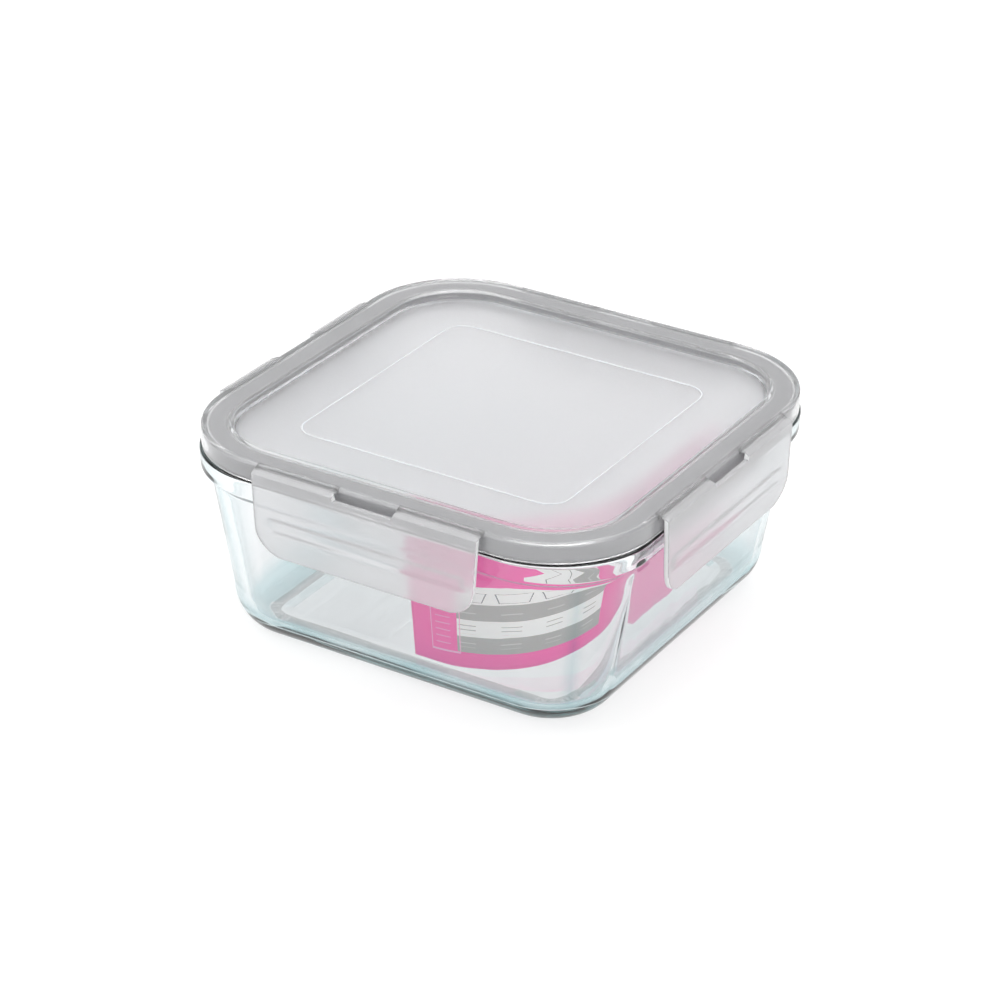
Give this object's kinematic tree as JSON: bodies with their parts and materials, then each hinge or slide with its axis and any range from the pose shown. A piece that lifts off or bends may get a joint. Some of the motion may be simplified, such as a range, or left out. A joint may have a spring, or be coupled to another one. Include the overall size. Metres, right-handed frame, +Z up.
{
  "type": "glass storage container",
  "caption": "Square glass food storage dish with a clip-on plastic lid, silicone seal, snap latches on living hinges and a curved card insert.",
  "frame": {"origin": "middle of the dish's base, on the surface that it stands on", "axes": "+Z up, -Y towards the front latch, +X towards the right latch"},
  "size_m": [0.1584, 0.1584, 0.0687],
  "materials": {
    "glass": "clear pressed borosilicate glass with a faint blue green tint in its thick parts",
    "clear_plastic": "translucent polypropylene, glossy ring and lightly frosted panel",
    "silicone": "satin grey silicone",
    "latch_plastic": "milky translucent polypropylene",
    "printed_card": "coated card printed in pink, white and grey"
  },
  "bodies": {
    "dish": {"glass_dish": "glass", "card_insert": "printed_card"},
    "lid": {"lid": "clear_plastic", "gasket": "silicone"},
    "latch_front": {"latch_front": "latch_plastic"},
    "latch_right": {"latch_right": "latch_plastic"},
    "latch_back": {"latch_back": "latch_plastic"},
    "latch_left": {"latch_left": "latch_plastic"}
  },
  "joints": [
    {"name": "lid_lift", "type": "slide", "parent": "dish", "child": "lid", "axis": [0, 0, 1], "range_m": [0, 0.08]},
    {"name": "latch_front_hinge", "type": "hinge", "parent": "lid", "child": "latch_front", "pos_m": [0, -0.0772, 0.0674], "axis": [-1, 0, 0], "range_deg": [-5.5, 140]},
    {"name": "latch_right_hinge", "type": "hinge", "parent": "lid", "child": "latch_right", "pos_m": [0.0772, 0, 0.0674], "axis": [0, -1, 0], "range_deg": [-5.5, 140]},
    {"name": "latch_back_hinge", "type": "hinge", "parent": "lid", "child": "latch_back", "pos_m": [0, 0.0772, 0.0674], "axis": [1, 0, 0], "range_deg": [-5.5, 140]},
    {"name": "latch_left_hinge", "type": "hinge", "parent": "lid", "child": "latch_left", "pos_m": [-0.0772, 0, 0.0674], "axis": [0, 1, 0], "range_deg": [-5.5, 140]}
  ]
}
